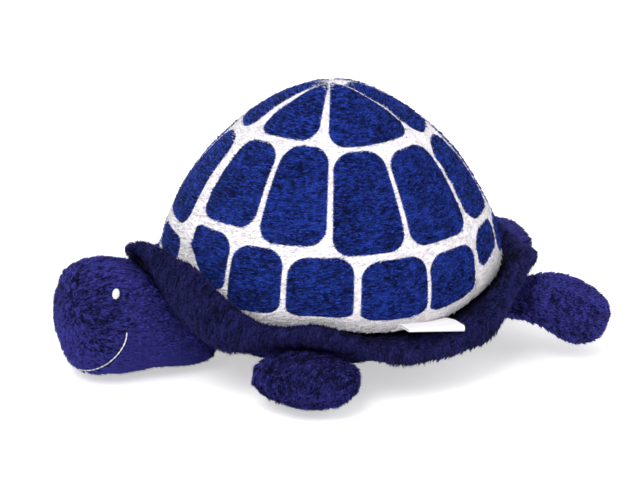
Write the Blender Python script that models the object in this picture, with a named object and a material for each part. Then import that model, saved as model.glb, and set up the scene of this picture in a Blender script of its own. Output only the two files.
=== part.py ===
"""A stuffed plush turtle that lies on its belly, its head towards -Y and its left side towards +X.

Every panel of cloth is a thin shell with its own edges, and the filling inside is a solid of its own.
Headings are degrees around the body: 0 is the head, 90 the turtle's left side, 180 the rear.
"""

import math

import bmesh
import bpy
from mathutils import Matrix, Vector

# Cloth
CLOTH = 0.0012  # the backing of the plush cloth
CLEARANCE = 0.0003  # left between pieces that lie together
FILL_INSET = CLOTH + CLEARANCE

# Domed shell
DOME_HALF_WIDTH = 0.065
DOME_HALF_LENGTH = 0.0685
DOME_WIDEST_Z = 0.036
DOME_RISE = 0.074  # from its widest level to the top
DOME_TUCK = 0.045  # how slowly it draws in below its widest level
DOME_POWER = 1.21  # 1 would be an ellipse, and more is a more pointed dome
SHELL_PANELS = ("left", "rear", "right")  # the first starts at the seam above the head
SHELL_SEAM_HEADINGS = (12, 130, 250)  # where each panel starts at its lower edge
SHELL_SEAM_TWISTS = (-8, 16, 0)  # degrees by which each seam turns on its way to the top
PANEL_SHIFT = CLEARANCE / math.sqrt(3)  # opens the seams between three panels

# The wave that the shell's lower seam and the rim follow: it rises over the head, flippers and feet
HEAD_HEADING, FLIPPER_HEADING, FOOT_HEADING = 0, 62, 150
WAVE_SPREADS = (26, 20, 26)  # degrees, for the rise at the head, the flippers and the feet
SEAM_Z, SEAM_RISES = 0.0265, (0.014, 0.0045, 0.007)
RIM_Z, RIM_RISES = 0.0195, (0.0308, 0.012, 0.019)

# Padded rim
RIM_SIDE_REACH = 0.011  # out from the dome's widest line, at the sides
RIM_END_REACH = 0.0125  # the same at the front and rear
RIM_REAR_OVERHANG = 0.0015  # added at the rear
RIM_ROOT_TUCK = 0.0025  # how far its sewn root lies inside the shell's seam
RIM_ROOT_HALF = 0.0026  # half its thickness at the root
RIM_ROLL_UP, RIM_ROLL_DOWN = 0.0057, 0.0055  # the outer roll above and below its own middle
RIM_SWELL, RIM_SWELL_HEADING, RIM_SWELL_SPREAD = 0.0165, 26, 12  # its top is fatter beside the neck
RIM_SAG, RIM_SAG_HEADING, RIM_SAG_SPREAD = 0.0075, 127, 10  # its underside, before the rear feet
RIM_ROOT_DROP = 0.0037  # from the shell's seam down to the middle of the root
RIM_SEAM_ANGLES = (12, 196, 198, 348)  # the upper panel's two edges, then the lower panel's

# Belly
BELLY_TUCK = 0.002  # how far its edge lies inside the shell's seam
BELLY_FLAT = 0.0005  # the depth by which it is flattened where it rests
BELLY_POWER, BELLY_FRONT_POWER = 2.6, 2.4  # the second is added under the neck
BELLY_EDGE_DROP = RIM_ROOT_DROP + RIM_ROOT_HALF + 2 * CLEARANCE

# Head, along its own axis from the neck seam to the snout
HEAD_LENGTH = 0.058
HEAD_HALF_WIDTH = 0.024
HEAD_HALF_HEIGHT = 0.0233
HEAD_CENTRE_Z = 0.0238
HEAD_ROOT_Z = 0.017  # the middle of the neck seam
HEAD_LEAN = 0.74  # the neck seam's lean forward, in rise over run
HEAD_SWING = 0.0009  # room left at the neck seam for the head to turn
# Shares of the length, half width, half height, centre height and lean at each station
HEAD_SHARES = (
    (0.0, 0.08, 0.5, 0.7, 1.0),
    (0.08, 0.7, 0.64, 0.7, 0.8),
    (0.18, 0.84, 0.77, 0.76, 0.45),
    (0.32, 0.92, 0.86, 0.86, 0.15),
    (0.48, 0.97, 0.95, 0.96, 0.0),
    (0.63, 1.0, 1.0, 1.0, 0.0),
    (0.78, 0.98, 0.99, 1.01, 0.0),
    (0.9, 0.84, 0.87, 1.02, 0.0),
    (0.97, 0.56, 0.58, 1.0, 0.0),
    (1.0, 0.0, 0.0, 1.0, 0.0),
)

# Front flippers, whose hinge is the upper edge of their flat sewn root
FLIPPER_LENGTH = 0.037
FLIPPER_HALF_WIDTH = 0.0222
FLIPPER_HALF_THICKNESS = 0.0113
FLIPPER_ROOT_Z = 0.0165
FLIPPER_PITCH = -11  # degrees, the tip lying low
FLIPPER_SWEEP = 0.0035  # the tip lies this far towards the rear
# Shares of the length, half width, half thickness, centre rise in half thicknesses, and sweep
FLIPPER_SHARES = (
    (0.0, 0.55, 0.16, -0.16, 0.0),
    (0.12, 0.76, 0.4, -0.22, 0.02),
    (0.3, 0.95, 0.74, -0.06, 0.1),
    (0.48, 1.0, 0.95, 0.08, 0.25),
    (0.66, 0.97, 0.97, 0.14, 0.48),
    (0.82, 0.79, 0.78, 0.1, 0.72),
    (0.94, 0.46, 0.44, 0.0, 0.92),
    (1.0, 0.0, 0.0, 0.0, 1.0),
)

# Rear feet
FOOT_LENGTH = 0.0515
FOOT_HALF_WIDTH = 0.0165
FOOT_HALF_THICKNESS = 0.0115
FOOT_ROOT_Z = 0.022
FOOT_ROOT_HEADING = 159.5
FOOT_TURN = 16  # degrees from straight out of the body, towards the side
FOOT_SHARES = (
    (0.0, 0.62, 0.15, -0.15, 0.0),
    (0.12, 0.74, 0.39, -0.28, 0.0),
    (0.3, 0.84, 0.7, -0.08, 0.0),
    (0.47, 0.93, 0.93, -0.02, 0.0),
    (0.62, 1.0, 1.03, -0.22, 0.0),
    (0.76, 1.0, 1.0, -0.45, 0.0),
    (0.88, 0.84, 0.82, -0.5, 0.0),
    (0.96, 0.52, 0.5, -0.48, 0.0),
    (1.0, 0.0, 0.0, -0.45, 0.0),
)

# Embroidery on the head
EYE_LENGTH_SHARE, EYE_ANGLE = 0.685, 42  # along the head, and degrees above its widest line
EYE_HALF_HEIGHT = 0.0018
EYE_HALF_WIDTH = 0.0012
EYE_THICKNESS = 0.0006
MOUTH_RADIUS = 0.0005
MOUTH_MIDDLE_SHARE, MOUTH_CORNER_SHARE = 0.92, 0.645  # along the head
MOUTH_CORNER_ANGLE = 3
MOUTH_CURL = 1.4  # how long the smile stays close to the cheek
MOUTH_POINTS = 12  # on each side

# Care label, folded in two and sewn into the shell's seam
LABEL_HEADING = 103
LABEL_WIDTH = 0.026
LABEL_LENGTH = 0.0135
LABEL_TAPE = 0.0004
LABEL_FOLD = 0.0021  # the folded label's thickness at its loop
LABEL_LIFT = 0.0018  # its hinge, above the shell's seam
LABEL_PITCH = 2

# Facets
PANEL_COLUMNS, PANEL_ROWS = 11, 8
RIM_ROUND = 6
BELLY_ROWS = 5
LIMB_SIDES, HEAD_SIDES = 14, 16
EYE_SIDES, EYE_RINGS = 12, 6
FOLD_STEPS = 8  # round the label's loop
HALVINGS = 30  # in the search for the belly's radius
SHARP_ANGLE = 50  # degrees between faces that are shaded apart

NAVY = (0.018, 0.016, 0.095)
ROYAL = (0.012, 0.026, 0.17)
WHITE = (0.85, 0.83, 0.84)
FILL = (0.9, 0.9, 0.88)


def clear_scene():
    for old in list(bpy.data.objects):
        bpy.data.objects.remove(old, do_unlink=True)


def material(name, colour, roughness):
    made = bpy.data.materials.new(name)
    made.use_nodes = True
    shader = made.node_tree.nodes["Principled BSDF"]
    shader.inputs["Base Color"].default_value = (*colour, 1)
    shader.inputs["Roughness"].default_value = roughness
    shader.inputs["Metallic"].default_value = 0
    made.diffuse_color = (*colour, 1)
    return made


def add_object(name, mesh_maker, look, parent=None):
    """A new object from the bmesh that mesh_maker fills, with all its faces pointing out."""
    bm = bmesh.new()
    mesh_maker(bm)
    bmesh.ops.remove_doubles(bm, verts=bm.verts, dist=CLOTH / 1000)
    bmesh.ops.recalc_face_normals(bm, faces=bm.faces)
    mesh = bpy.data.meshes.new(name)
    bm.to_mesh(mesh)
    bm.free()
    mesh.shade_smooth()
    mesh.set_sharp_from_angle(angle=math.radians(SHARP_ANGLE))
    mesh.materials.append(look)
    made = bpy.data.objects.new(name, mesh)
    bpy.context.scene.collection.objects.link(made)
    made.parent = parent
    return made


def add_hinge(name, place, rotation):
    """An empty on a joint's axis, which carries the pieces that move about it."""
    empty = bpy.data.objects.new(name, None)
    empty.matrix_world = Matrix.Translation(place) @ rotation
    bpy.context.scene.collection.objects.link(empty)
    return empty


def add_faces(bm, rows, ring):
    """Faces between rows of points; a ring's last column joins its first.

    Each face is split along the same diagonal, so that a surface nested in another never meets it.
    """
    verts = [[bm.verts.new(point) for point in row] for row in rows]
    faces = []
    for low, high in zip(verts, verts[1:]):
        columns = len(low) if ring else len(low) - 1
        for i in range(columns):
            j = (i + 1) % len(low)
            faces.append(bm.faces.new((low[i], low[j], high[j], high[i])))
    bmesh.ops.triangulate(bm, faces=faces, quad_method="FIXED")
    return verts


def add_strip(bm, first, second, ring):
    columns = len(first) if ring else len(first) - 1
    for i in range(columns):
        j = (i + 1) % len(first)
        bm.faces.new((first[i], first[j], second[j], second[i]))


def cloth_panel(bm, outer, inner, ring=False):
    """A panel with its thickness: two grids of points, and strips that close its edges."""
    outside, inside = add_faces(bm, outer, ring), add_faces(bm, inner, ring)
    add_strip(bm, outside[0], inside[0], ring)
    add_strip(bm, outside[-1], inside[-1], ring)
    if not ring:
        add_strip(bm, [row[0] for row in outside], [row[0] for row in inside], False)
        add_strip(bm, [row[-1] for row in outside], [row[-1] for row in inside], False)


def filling(bm, rows):
    """A solid through closed rings, with its first and last ring capped."""
    rings = add_faces(bm, rows, True)
    for end in (rings[0], rings[-1]):
        if (end[0].co - end[1].co).length > CLOTH / 1000:
            bm.faces.new(end)


def outward(heading):
    angle = math.radians(heading)
    return Vector((math.sin(angle), -math.cos(angle), 0))


def at(heading, radius, height):
    return outward(heading) * radius + Vector((0, 0, height))


def plan_radius(heading, half_width, half_length):
    direction = outward(heading)
    return 1 / math.hypot(direction.x / half_width, direction.y / half_length)


def bump(heading, centre, spread):
    """1 at the centre heading and at its mirror image, and 0 far from both."""
    total = 0
    for middle in {centre, -centre}:
        away = (heading - middle + 180) % 360 - 180
        total += math.exp(-((away / spread) ** 2))
    return total


def wave(heading, level, rises):
    centres = (HEAD_HEADING, FLIPPER_HEADING, FOOT_HEADING)
    waves = zip(centres, WAVE_SPREADS, rises)
    return level + sum(rise * bump(heading, centre, spread) for centre, spread, rise in waves)


def panel_headings(number, step=0):
    """Across one shell panel: step 0 is its lower edge and 1 the top."""
    edges = [h + t * step for h, t in zip(SHELL_SEAM_HEADINGS, SHELL_SEAM_TWISTS)]
    edges.append(edges[0] + 360)
    return spread(edges[number], edges[number + 1], PANEL_COLUMNS)


def body_headings(step=0):
    """All round the body, with the same columns as the shell, so that nested facets never cross."""
    return [h for n in range(len(SHELL_PANELS)) for h in panel_headings(n, step)[:-1]]


def seam_height(heading):
    return wave(heading, SEAM_Z, SEAM_RISES)


def seam_lift(heading):
    """The dome's own angle at its lower seam, below zero where the dome draws in."""
    above = seam_height(heading) - DOME_WIDEST_Z
    share = abs(above) / (DOME_RISE if above > 0 else DOME_TUCK)
    return math.copysign(math.asin(share ** (1 / DOME_POWER)), above)


def dome_point(heading, lift, inset=0):
    radius = plan_radius(heading, DOME_HALF_WIDTH - inset, DOME_HALF_LENGTH - inset)
    rise = DOME_RISE - inset if lift > 0 else -DOME_TUCK
    height = DOME_WIDEST_Z + rise * abs(math.sin(lift)) ** DOME_POWER
    return at(heading, radius * max(math.cos(lift), 0) ** DOME_POWER, height)


def seam_radius(heading):
    return dome_point(heading, seam_lift(heading)).xy.length


def rim_point(heading, turn, inset=0):
    """On the rim's outline at one heading: turn 0 is its root, 90 its top, 180 its outer edge."""
    root = seam_radius(heading) - RIM_ROOT_TUCK
    overhang = RIM_REAR_OVERHANG * (1 - math.cos(math.radians(heading))) / 2
    half_width, half_length = DOME_HALF_WIDTH + RIM_SIDE_REACH, DOME_HALF_LENGTH + RIM_END_REACH
    edge = plan_radius(heading, half_width, half_length) + overhang
    angle = math.radians(turn)
    share = (1 - math.cos(angle)) / 2
    eased = share * share * (3 - 2 * share)
    low, high = seam_height(heading) - RIM_ROOT_DROP, wave(heading, RIM_Z, RIM_RISES)
    swell = RIM_SWELL * bump(heading, RIM_SWELL_HEADING, RIM_SWELL_SPREAD)
    sag = RIM_SAG * bump(heading, RIM_SAG_HEADING, RIM_SAG_SPREAD)
    roll = RIM_ROLL_UP + swell if turn < 180 else RIM_ROLL_DOWN + sag
    half = RIM_ROOT_HALF + (roll - RIM_ROOT_HALF) * eased
    inward = angle - math.atan2(high - low, edge - root)  # measured from the roll's own slope
    radius = root + (edge - root) * share + inset * math.cos(inward)
    height = low + (high - low) * eased + half * math.sin(angle) - inset * math.sin(inward)
    return at(heading, radius, height)


def belly_point(heading, share, inset=0):
    """Share 0 is the middle of the belly, and 1 its edge under the rim."""
    radius = seam_radius(heading) - BELLY_TUCK - inset
    power = BELLY_POWER + BELLY_FRONT_POWER * bump(heading, HEAD_HEADING, WAVE_SPREADS[0]) / 2
    edge = seam_height(heading) - BELLY_EDGE_DROP
    height = max(edge * share**power - BELLY_FLAT * (1 - share), 0)
    return at(heading, radius * share, height + inset * (1 - share**4))


def belly_radius(heading, height):
    """The belly's radius at a height, found by halving the range."""
    low, high = 0, 1
    for _ in range(HALVINGS):
        middle = (low + high) / 2
        if belly_point(heading, middle).z < height:
            low = middle
        else:
            high = middle
    return belly_point(heading, low).xy.length


def spread(first, last, steps):
    return [first + (last - first) * i / steps for i in range(steps + 1)]


def turns(sides):
    return [360 * i / sides for i in range(sides)]


def limb_point(form, station, turn, inset=0):
    """On a stuffed limb: x runs out from its seam, y across it and z up."""
    length, half_width, half_height, rise_unit, shares = form
    along, wide, high, rise, shift = shares[station]
    angle = math.radians(turn)
    across = max(half_width * wide - inset, 0) * math.cos(angle)
    up = max(half_height * high - inset, 0) * math.sin(angle)
    return Vector(((length - inset) * along, across, rise_unit * rise + up)), shift, up


def paddle_point(form, side, sweep, station, turn, inset=0):
    point, shift, _ = limb_point(form, station, turn, inset)
    point.y += side * sweep * shift
    return point


def head_point(station, turn, inset=0):
    form = (HEAD_LENGTH, HEAD_HALF_WIDTH, HEAD_HALF_HEIGHT, HEAD_CENTRE_Z, HEAD_SHARES)
    point, lean, up = limb_point(form, station, turn, inset)
    lean_height = point.z - HEAD_ROOT_Z
    return point + Vector((HEAD_LEAN * lean * lean_height, 0, -HEAD_ROOT_Z))


def on_head(along_share, turn, out):
    """A point the given distance above the head's surface, and the way out there."""
    station = max(i for i, row in enumerate(HEAD_SHARES[:-1]) if row[0] <= along_share)
    start, end = HEAD_SHARES[station][0], HEAD_SHARES[station + 1][0]
    share = (along_share - start) / (end - start)
    point = head_point(station, turn).lerp(head_point(station + 1, turn), share)
    ahead = head_point(station + 1, turn) - head_point(station, turn)
    across = head_point(station, turn + 1) - head_point(station, turn - 1)
    normal = across.cross(ahead).normalized()
    if normal.dot(point - Vector((point.x, 0, HEAD_CENTRE_Z - HEAD_ROOT_Z))) < 0:
        normal.negate()
    return point + normal * out, normal


def dome_rows(headings_at, inset):
    """Rows of points from the shell's lower seam to its top."""
    rows = []
    for step in spread(0, 1, PANEL_ROWS):
        row = []
        for heading in headings_at(step):
            low = seam_lift(heading)
            row.append(dome_point(heading, low + (math.pi / 2 - low) * step, inset))
        rows.append(row)
    return rows


def add_shell(looks):
    """Three printed panels that meet above the head and at the top."""
    for number, name in enumerate(SHELL_PANELS):
        lower = panel_headings(number)
        shift = outward((lower[0] + lower[-1]) / 2) * PANEL_SHIFT

        def grid(inset, number=number, shift=shift):
            rows = dome_rows(lambda step: panel_headings(number, step), inset)
            return [[point + shift for point in row] for row in rows]

        add_object(
            f"shell_panel_{name}",
            lambda bm, grid=grid: cloth_panel(bm, grid(0), grid(CLOTH)),
            looks["shell_print"],
        )


def add_body_filling(looks):
    """One loose filling from the belly up into the dome, drawn in where the rim is sewn on."""
    headings = body_headings()
    rows = [
        [belly_point(h, share, FILL_INSET) for h in headings]
        for share in spread(0, 1, BELLY_ROWS)
    ]
    waist = RIM_ROOT_TUCK + 2 * CLEARANCE
    rows.append([at(h, seam_radius(h) - waist, seam_height(h) - RIM_ROOT_DROP) for h in headings])
    rows += dome_rows(body_headings, FILL_INSET)
    add_object("body_stuffing", lambda bm: filling(bm, rows), looks["stuffing"])


def add_rim(looks):
    headings = body_headings()

    def rows(first, last, steps, inset):
        return [[rim_point(h, t, inset) for h in headings] for t in spread(first, last, steps)]

    upper_start, upper_end, lower_start, lower_end = RIM_SEAM_ANGLES
    for name, first, last, steps in (
        ("rim_upper_panel", upper_start, upper_end, RIM_ROUND),
        ("rim_lower_panel", lower_start, lower_end, RIM_ROUND - 2),
    ):
        add_object(
            name,
            lambda bm, f=first, e=last, s=steps: cloth_panel(
                bm, rows(f, e, s, 0), rows(f, e, s, CLOTH), ring=True
            ),
            looks["navy_plush"],
        )

    def wadding(bm):
        loops = rows(upper_start, upper_end, RIM_ROUND, FILL_INSET)
        loops += rows(lower_start, lower_end, RIM_ROUND - 2, FILL_INSET)
        rings = add_faces(bm, loops, True)
        add_strip(bm, rings[-1], rings[0], True)

    add_object("rim_wadding", wadding, looks["stuffing"])


def add_belly(looks):
    headings = body_headings()

    def rows(inset):
        return [
            [belly_point(h, share, inset) for h in headings] for share in spread(0, 1, BELLY_ROWS)
        ]

    def panel(bm):
        outside, inside = add_faces(bm, rows(0), True), add_faces(bm, rows(CLOTH), True)
        add_strip(bm, outside[-1], inside[-1], True)

    add_object("belly_panel", panel, looks["navy_plush"])


def add_stuffed_limb(names, point, stations, sides, apart, hinge, looks):
    """Two panels sewn edge to edge, each moved half a gap out of their seam, and their filling."""
    first_name, second_name, filling_name = names
    start = 90 if apart.y else 0
    for name, first, way in ((first_name, start - 180, 1), (second_name, start, -1)):
        if not apart.y:
            way = -way

        def grid(inset, first=first, way=way):
            arc = spread(first, first + 180, sides // 2)
            shift = apart * way * CLEARANCE / 2
            return [[point(s, t, inset) + shift for t in arc] for s in range(stations)]

        add_object(
            name,
            lambda bm, grid=grid: cloth_panel(bm, grid(0), grid(CLOTH)),
            looks["navy_plush"],
            hinge,
        )
    around = [start + t for t in turns(sides)]
    rows = [[point(s, t, FILL_INSET) for t in around] for s in range(1, stations)]
    add_object(filling_name, lambda bm: filling(bm, rows), looks["stuffing"], hinge)


def add_head(looks):
    """The head leans on the belly's front, and turns about its neck seam."""
    top = HEAD_ROOT_Z + HEAD_HALF_HEIGHT * HEAD_SHARES[0][2]
    seam_y = -belly_radius(HEAD_HEADING, top) - HEAD_SWING
    seam_y += HEAD_LEAN * (top - HEAD_ROOT_Z)
    place = Vector((0, seam_y, HEAD_ROOT_Z))
    hinge = add_hinge("head_hinge", place, Matrix.Rotation(math.radians(-90), 4, "Z"))
    names = ("head_panel_left", "head_panel_right", "head_stuffing")
    add_stuffed_limb(
        names, head_point, len(HEAD_SHARES), HEAD_SIDES, Vector((0, 1, 0)), hinge, looks
    )
    for name, mirror in (("left", 1), ("right", -1)):

        def eye(bm, mirror=mirror):
            turn = EYE_ANGLE if mirror > 0 else 180 - EYE_ANGLE
            point, normal = on_head(EYE_LENGTH_SHARE, turn, CLEARANCE + EYE_THICKNESS / 2)
            turned = normal.to_track_quat("Z", "X").to_matrix().to_4x4()
            size = Matrix.Diagonal((EYE_HALF_HEIGHT, EYE_HALF_WIDTH, EYE_THICKNESS / 2, 1))
            bmesh.ops.create_uvsphere(
                bm,
                u_segments=EYE_SIDES,
                v_segments=EYE_RINGS,
                radius=1,
                matrix=Matrix.Translation(point) @ turned @ size,
            )

        add_object(f"eye_stitching_{name}", eye, looks["white_thread"], hinge)
    add_mouth(hinge, looks)


def add_mouth(hinge, looks):
    """A line of thread from one cheek, under the chin, to the other."""
    curve = bpy.data.curves.new("mouth_stitching", "CURVE")
    curve.dimensions = "3D"
    curve.bevel_depth = MOUTH_RADIUS
    curve.bevel_resolution = 1
    curve.use_fill_caps = True
    spline = curve.splines.new("POLY")
    spline.points.add(2 * MOUTH_POINTS)
    sweep = 90 + MOUTH_CORNER_ANGLE
    for i, point in enumerate(spline.points):
        side = i / MOUTH_POINTS - 1
        curl = (3 * side**2 - 2 * abs(side) ** 3) ** MOUTH_CURL
        along = MOUTH_MIDDLE_SHARE + (MOUTH_CORNER_SHARE - MOUTH_MIDDLE_SHARE) * curl
        place, _ = on_head(along, side * sweep - 90, CLEARANCE + MOUTH_RADIUS)
        point.co = (*place, 1)
    curve.materials.append(looks["white_thread"])
    mouth = bpy.data.objects.new("mouth_stitching", curve)
    mouth.parent = hinge
    bpy.context.scene.collection.objects.link(mouth)


def add_paddle(prefix, side_name, form, sweep, hinge, looks):
    side = 1 if side_name == "left" else -1
    names = [f"{prefix}_{side_name}_{piece}" for piece in ("lower_panel", "upper_panel", "stuffing")]
    stations = len(form[-1])

    def point(station, turn, inset):
        return paddle_point(form, side, sweep, station, turn, inset)

    add_stuffed_limb(names, point, stations, LIMB_SIDES, Vector((0, 0, 1)), hinge, looks)


def add_limbs(looks):
    flipper = (
        FLIPPER_LENGTH,
        FLIPPER_HALF_WIDTH,
        FLIPPER_HALF_THICKNESS,
        FLIPPER_HALF_THICKNESS,
        FLIPPER_SHARES,
    )
    foot = (FOOT_LENGTH, FOOT_HALF_WIDTH, FOOT_HALF_THICKNESS, FOOT_HALF_THICKNESS, FOOT_SHARES)
    for side_name, side in (("left", 1), ("right", -1)):
        for prefix, form, heading, turn, height, pitch, sweep in (
            ("front_flipper", flipper, FLIPPER_HEADING, 0, FLIPPER_ROOT_Z, FLIPPER_PITCH, FLIPPER_SWEEP),
            ("rear_foot", foot, FOOT_ROOT_HEADING, -FOOT_TURN, FOOT_ROOT_Z, 0, 0),
        ):
            radius = belly_radius(heading, height) + CLEARANCE
            place = at(side * heading, radius, height)
            rotation = Matrix.Rotation(math.radians(side * (heading + turn) - 90), 4, "Z")
            rotation @= Matrix.Rotation(math.radians(-pitch), 4, "Y")
            hinge = add_hinge(f"{prefix}_{side_name}_hinge", place, rotation)
            add_paddle(prefix, side_name, form, sweep, hinge, looks)


def add_label(looks):
    """A tape folded in two, which lies on the rim; it lifts about the upper edge of its sewn ends."""
    height = seam_height(LABEL_HEADING) + LABEL_LIFT
    half = math.degrees(LABEL_WIDTH / 2 / seam_radius(LABEL_HEADING))
    lift = seam_lift(LABEL_HEADING)
    radius = max(dome_point(LABEL_HEADING + h, lift).xy.length for h in (-half, 0, half))
    place = at(LABEL_HEADING, radius + CLEARANCE, height)
    rotation = Matrix.Rotation(math.radians(LABEL_HEADING - 90), 4, "Z")
    rotation @= Matrix.Rotation(math.radians(-LABEL_PITCH), 4, "Y")
    hinge = add_hinge("care_label_hinge", place, rotation)
    loop_radius = LABEL_FOLD / 2
    layer_top = LABEL_TAPE + CLEARANCE / 2  # above the middle of the fold

    def outline(inset):
        """From the lower end out, round the fold and back along the upper layer."""
        reach = LABEL_LENGTH - loop_radius
        half_round = [
            Vector((reach + (loop_radius - inset) * math.cos(a), (loop_radius - inset) * math.sin(a)))
            for a in (math.radians(t) for t in spread(-90, 90, FOLD_STEPS))
        ]
        away = layer_top - inset
        return [Vector((0, -away)), *half_round, Vector((0, away))]

    def tape(bm):
        closed = outline(0) + outline(LABEL_TAPE)[::-1]
        ends = []
        for across in (-LABEL_WIDTH / 2, LABEL_WIDTH / 2):
            ends.append([bm.verts.new((p.x, across, p.y - layer_top)) for p in closed])
            bm.faces.new(ends[-1])
        add_strip(bm, ends[0], ends[1], True)

    add_object("care_label", tape, looks["label_tape"], hinge)


def build():
    clear_scene()
    looks = {
        "shell_print": material("shell_print", ROYAL, 0.75),
        "navy_plush": material("navy_plush", NAVY, 0.85),
        "white_thread": material("white_thread", WHITE, 0.6),
        "label_tape": material("label_tape", WHITE, 0.7),
        "stuffing": material("stuffing", FILL, 0.95),
    }
    add_shell(looks)
    add_body_filling(looks)
    add_rim(looks)
    add_belly(looks)
    add_head(looks)
    add_limbs(looks)
    add_label(looks)


build()
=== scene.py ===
# %% [markdown]
# # A plush turtle, from its fixed frame to its pile
#
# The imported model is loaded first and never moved. It holds the sewn panels as thin solids and
# the joints of the head, flippers, feet and label. Everything that is seen is built around it:
# stuffed covers, a pile of fibres on each, embroidery, and a folded tape in the seam.

# %% Load the frame
import math

import bmesh
import bpy
import numpy as np
from mathutils import Matrix, Vector, noise
from mathutils.kdtree import KDTree


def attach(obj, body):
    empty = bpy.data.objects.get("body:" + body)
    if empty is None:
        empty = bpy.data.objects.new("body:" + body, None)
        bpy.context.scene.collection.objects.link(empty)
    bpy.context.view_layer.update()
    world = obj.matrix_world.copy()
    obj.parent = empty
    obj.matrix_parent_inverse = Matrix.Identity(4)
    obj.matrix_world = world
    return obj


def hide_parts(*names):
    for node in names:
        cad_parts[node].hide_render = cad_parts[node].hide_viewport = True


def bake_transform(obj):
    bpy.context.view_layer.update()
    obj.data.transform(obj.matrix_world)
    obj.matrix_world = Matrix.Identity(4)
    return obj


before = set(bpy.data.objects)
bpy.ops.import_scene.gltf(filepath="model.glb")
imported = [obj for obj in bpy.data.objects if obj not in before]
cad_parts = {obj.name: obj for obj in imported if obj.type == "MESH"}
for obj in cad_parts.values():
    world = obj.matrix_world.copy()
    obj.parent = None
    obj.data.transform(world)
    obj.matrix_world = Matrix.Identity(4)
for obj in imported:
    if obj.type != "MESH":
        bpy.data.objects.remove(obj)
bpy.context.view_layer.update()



def outward(heading):
    """The level way out at a heading: 0 is over the head, and 90 is the turtle's left."""
    angle = math.radians(heading)
    return Vector((math.sin(angle), -math.cos(angle), 0))


def at(heading, radius, height):
    return outward(heading) * radius + Vector((0, 0, height))


def placed(name, data):
    """An object in the scene, made from a mesh, a lamp or a camera."""
    made = bpy.data.objects.new(name, data)
    bpy.context.scene.collection.objects.link(made)
    return made


def aim(made, place, way):
    """Stand a lamp or a camera at a place, looking along a way."""
    made.location = place
    made.rotation_mode = "QUATERNION"
    made.rotation_quaternion = way.to_track_quat("-Z", "Y")


def mesh_object(bm, name):
    """The object that a finished bmesh becomes."""
    mesh = bpy.data.meshes.new(name)
    bm.to_mesh(mesh)
    bm.free()
    mesh.shade_smooth()
    return placed(name, mesh)


# %% [markdown]
# ## Where the camera stands
#
# The turtle is seen from its left, a little towards the head and a little from above. The lens is
# long, so near and far parts keep almost the same scale. The camera looks at a point above the
# belly, and its distance and lens together set how many millimetres fit across the picture.

# %% Camera
VIEW_HEADING, VIEW_ELEVATION = 70, math.radians(20)
VIEW_DISTANCE = 2.4
VIEW_WIDTH = 0.256  # what the picture's width takes in at the turtle
AIM_RIGHT, AIM_UP = -0.004, 0.0418  # the picture's middle, from the point under the belly


def add_camera():
    back = at(VIEW_HEADING, math.cos(VIEW_ELEVATION), math.sin(VIEW_ELEVATION))
    right = outward(VIEW_HEADING + 90)
    data = bpy.data.cameras.new("camera")
    data.lens = data.sensor_width * VIEW_DISTANCE / VIEW_WIDTH
    camera = placed("camera", data)
    middle = right * AIM_RIGHT + back.cross(right) * AIM_UP
    aim(camera, middle + back * VIEW_DISTANCE, -back)
    bpy.context.scene.camera = camera
    print("camera lens in mm:", round(data.lens))


add_camera()

# %% [markdown]
# ## Sums on shader sockets
#
# A material is a graph of nodes, and its numbers are easier to read as sums. `Wire` wraps one
# socket, so that `1 - mask * 0.5` adds the Math nodes it needs. `Graph` holds the nodes of a
# material or of the world, and its `node` method adds any other node from its settings and what
# its sockets take. `Finish` is the graph of one material.


# %% Sockets as numbers
SPECULAR, SHEEN_ROUGHNESS = 0.08, 0.4  # cloth and thread have hardly any gloss


class Wire:
    def __init__(self, graph, socket):
        self.graph, self.socket = graph, socket

    def sum(self, operation, first, second):
        settings = {"operation": operation}
        return self.graph.node("ShaderNodeMath", settings, {0: first, 1: second})

    def __add__(self, other):
        return self.sum("ADD", self, other)

    def __mul__(self, other):
        return self.sum("MULTIPLY", self, other)

    def __sub__(self, other):
        return self.sum("SUBTRACT", self, other)

    def __rsub__(self, other):
        return self.sum("SUBTRACT", other, self)

    __radd__, __rmul__ = __add__, __mul__


class Graph:
    def __init__(self, owner):
        owner.use_nodes = True
        self.nodes, self.links = owner.node_tree.nodes, owner.node_tree.links

    def join(self, value, socket):
        if isinstance(value, Wire):
            self.links.new(value.socket, socket)
        else:
            socket.default_value = value

    def node(self, kind, settings, values, output=0):
        made = self.nodes.new(kind)
        for name, value in settings.items():
            setattr(made, name, value)
        for name, value in values.items():
            self.join(value, made.inputs[name])
        return Wire(self, made.outputs[output])

    def spread(self, value, low, high):
        """0 at low, 1 at high and straight between them."""
        values = {"Value": value, "From Min": low, "From Max": high}
        return self.node("ShaderNodeMapRange", {}, values)


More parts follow.
